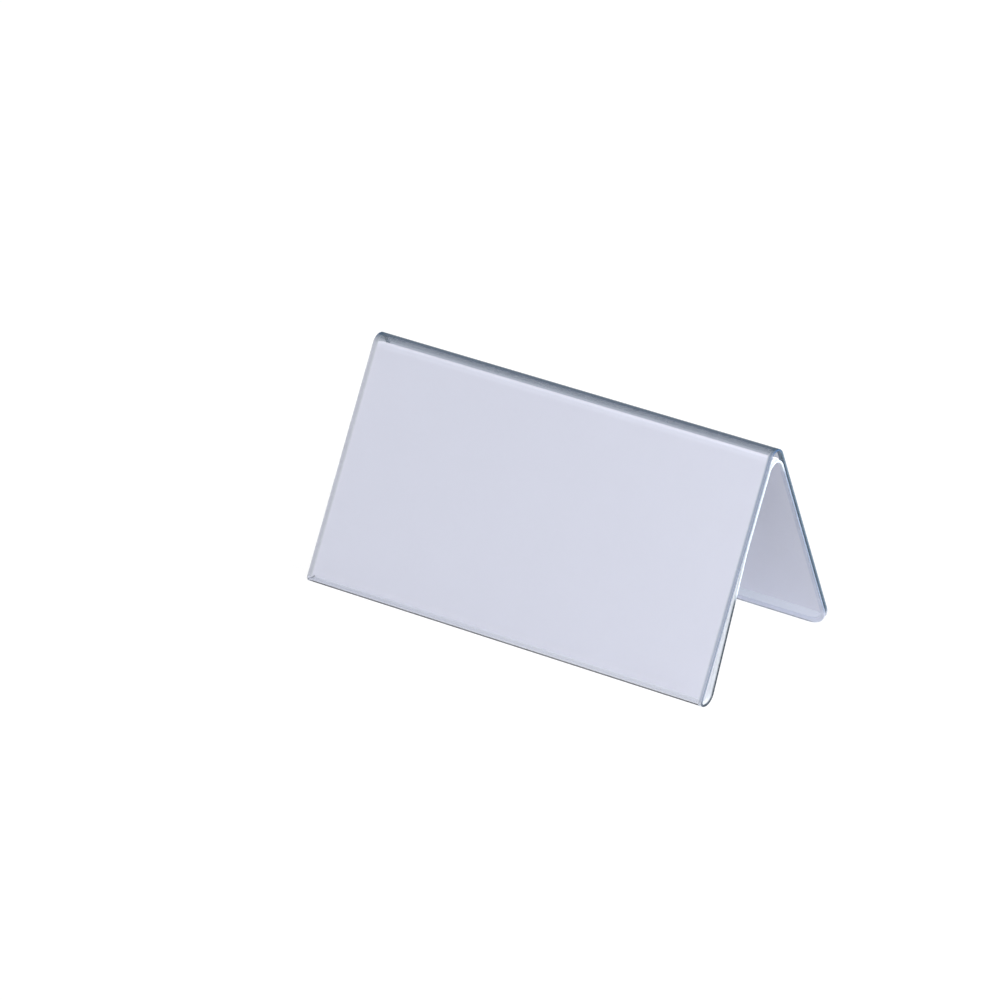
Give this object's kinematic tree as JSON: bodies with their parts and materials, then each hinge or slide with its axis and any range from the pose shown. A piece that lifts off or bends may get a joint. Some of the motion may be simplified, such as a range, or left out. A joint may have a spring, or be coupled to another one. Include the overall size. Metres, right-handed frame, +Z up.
{
  "type": "place card holder",
  "caption": "Clear plastic tent that stands on a table and holds a blank folded card in the pocket between its outer and inner leaves, open at both ends.",
  "frame": {"origin": "on the table, in the middle of the holder's footprint", "axes": "+Z up, X along the fold, the front leaf faces -Y"},
  "size_m": [0.1014, 0.0512, 0.0501],
  "materials": {
    "clear_plastic": "clear and glossy, with a faint cold blue tint that shows at the cut edges",
    "white_card": "smooth matt white card"
  },
  "bodies": {
    "holder": {"clear_holder": "clear_plastic"},
    "card": {"insert_card": "white_card"}
  },
  "joints": [
    {"name": "card_slide", "type": "slide", "parent": "holder", "child": "card", "axis": [1, 0, 0], "range_m": [-0.09, 0.091]}
  ]
}
